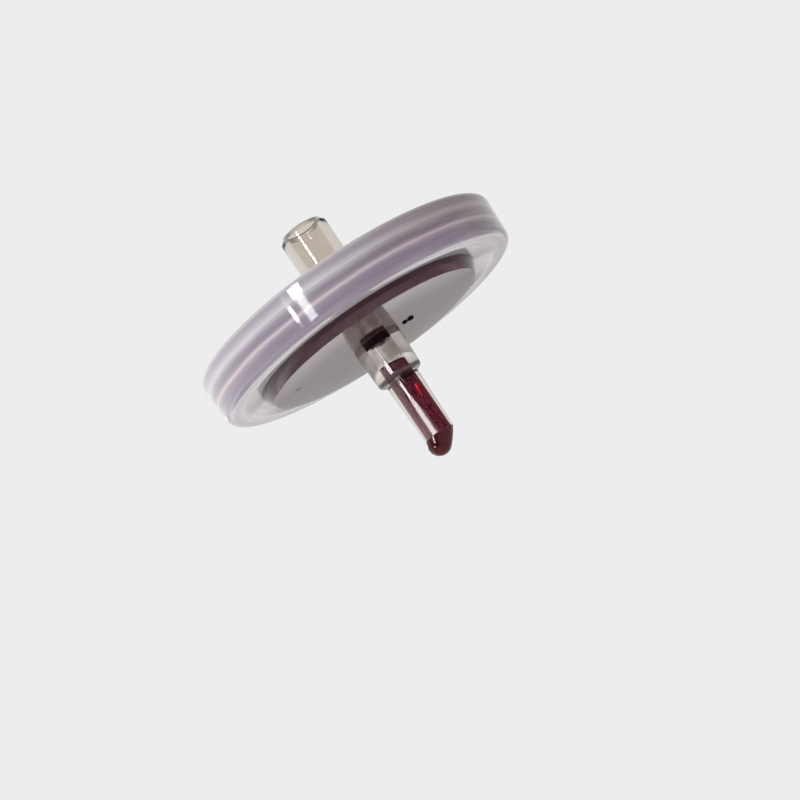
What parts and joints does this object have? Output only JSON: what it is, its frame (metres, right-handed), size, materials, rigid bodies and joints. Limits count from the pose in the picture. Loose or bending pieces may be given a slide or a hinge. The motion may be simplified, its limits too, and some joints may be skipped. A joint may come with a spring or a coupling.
{
  "type": "syringe filter",
  "caption": "Round syringe filter with a milky sealing ring, a female slip inlet, a male slip outlet tip, dark red liquid inside and a drop hanging from the tip.",
  "frame": {"origin": "centre of the inlet socket's mouth, on the hub's flat rim", "axes": "+Z along the filter's axis out of the inlet; the outlet tip points along -Z; the drop hangs towards -X"},
  "size_m": [0.042, 0.042, 0.0335],
  "materials": {
    "clear_plastic": "gloss",
    "milky_plastic": "gloss",
    "wet_membrane": "matte",
    "dark_red_liquid": "gloss"
  },
  "bodies": {
    "root": {"inlet_housing": "clear_plastic", "outlet_housing": "clear_plastic", "sealing_ring": "milky_plastic", "membrane": "wet_membrane", "upstream_liquid": "dark_red_liquid", "downstream_liquid": "dark_red_liquid", "outlet_liquid": "dark_red_liquid"}
  },
  "joints": []
}
